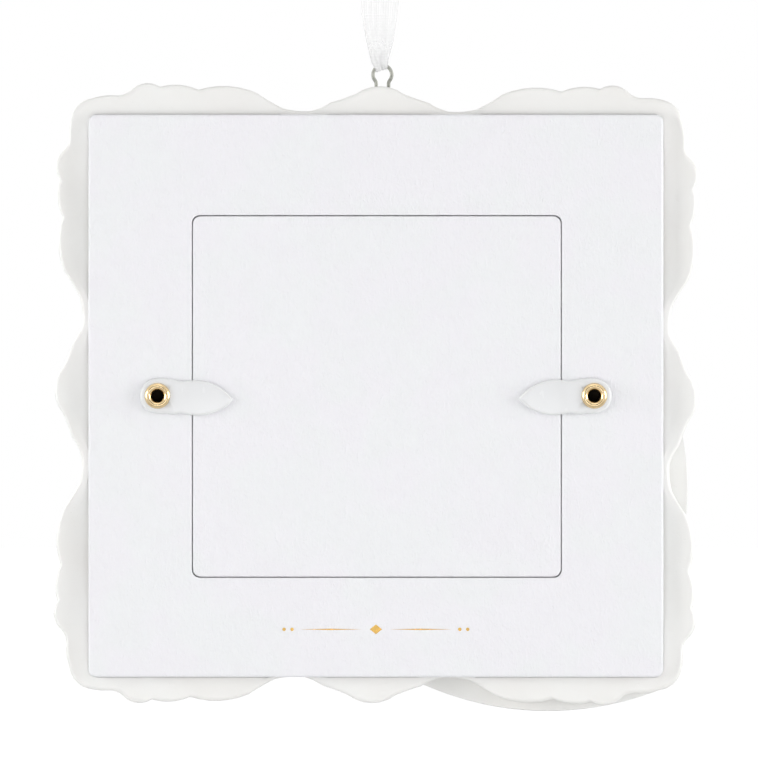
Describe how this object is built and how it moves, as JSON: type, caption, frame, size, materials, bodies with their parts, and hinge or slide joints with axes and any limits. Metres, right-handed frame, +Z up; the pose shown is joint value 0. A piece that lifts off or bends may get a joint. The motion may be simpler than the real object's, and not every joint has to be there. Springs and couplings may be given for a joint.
{
  "type": "picture frame ornament",
  "caption": "Square hanging porcelain photo frame ornament with a scalloped edge, a covered back board, a loose door panel held by turn tabs, and a ribbon loop.",
  "frame": {"origin": "middle of the wire hanging eye at the top edge", "axes": "+Z up as it hangs, +Y out of the back with the door panel, -Y out of the front window"},
  "size_m": [0.0894, 0.0118, 0.1499],
  "materials": {
    "porcelain": "satin",
    "leatherette": "matte",
    "clear_plastic": "gloss",
    "card": "matte",
    "brass": "polished",
    "steel_wire": "satin",
    "organza": "sheer"
  },
  "bodies": {
    "frame": {"porcelain_frame": "porcelain", "hanger_wire": "steel_wire", "hanging_ribbon": "organza", "ribbon_knot": "organza", "back_board": "leatherette", "door_panel": "leatherette", "window_pane": "clear_plastic", "photo_card": "card", "eyelets": "brass"},
    "left_tab": {"tab_left": "clear_plastic"},
    "right_tab": {"tab_right": "clear_plastic"}
  },
  "joints": [
    {"name": "left_tab_turn", "type": "hinge", "parent": "frame", "child": "left_tab", "pos_m": [0.0311, 0.00435, -0.0446], "axis": [0, 1, 0], "continuous": true},
    {"name": "right_tab_turn", "type": "hinge", "parent": "frame", "child": "right_tab", "pos_m": [-0.0293, 0.00435, -0.0446], "axis": [0, 1, 0], "continuous": true}
  ]
}
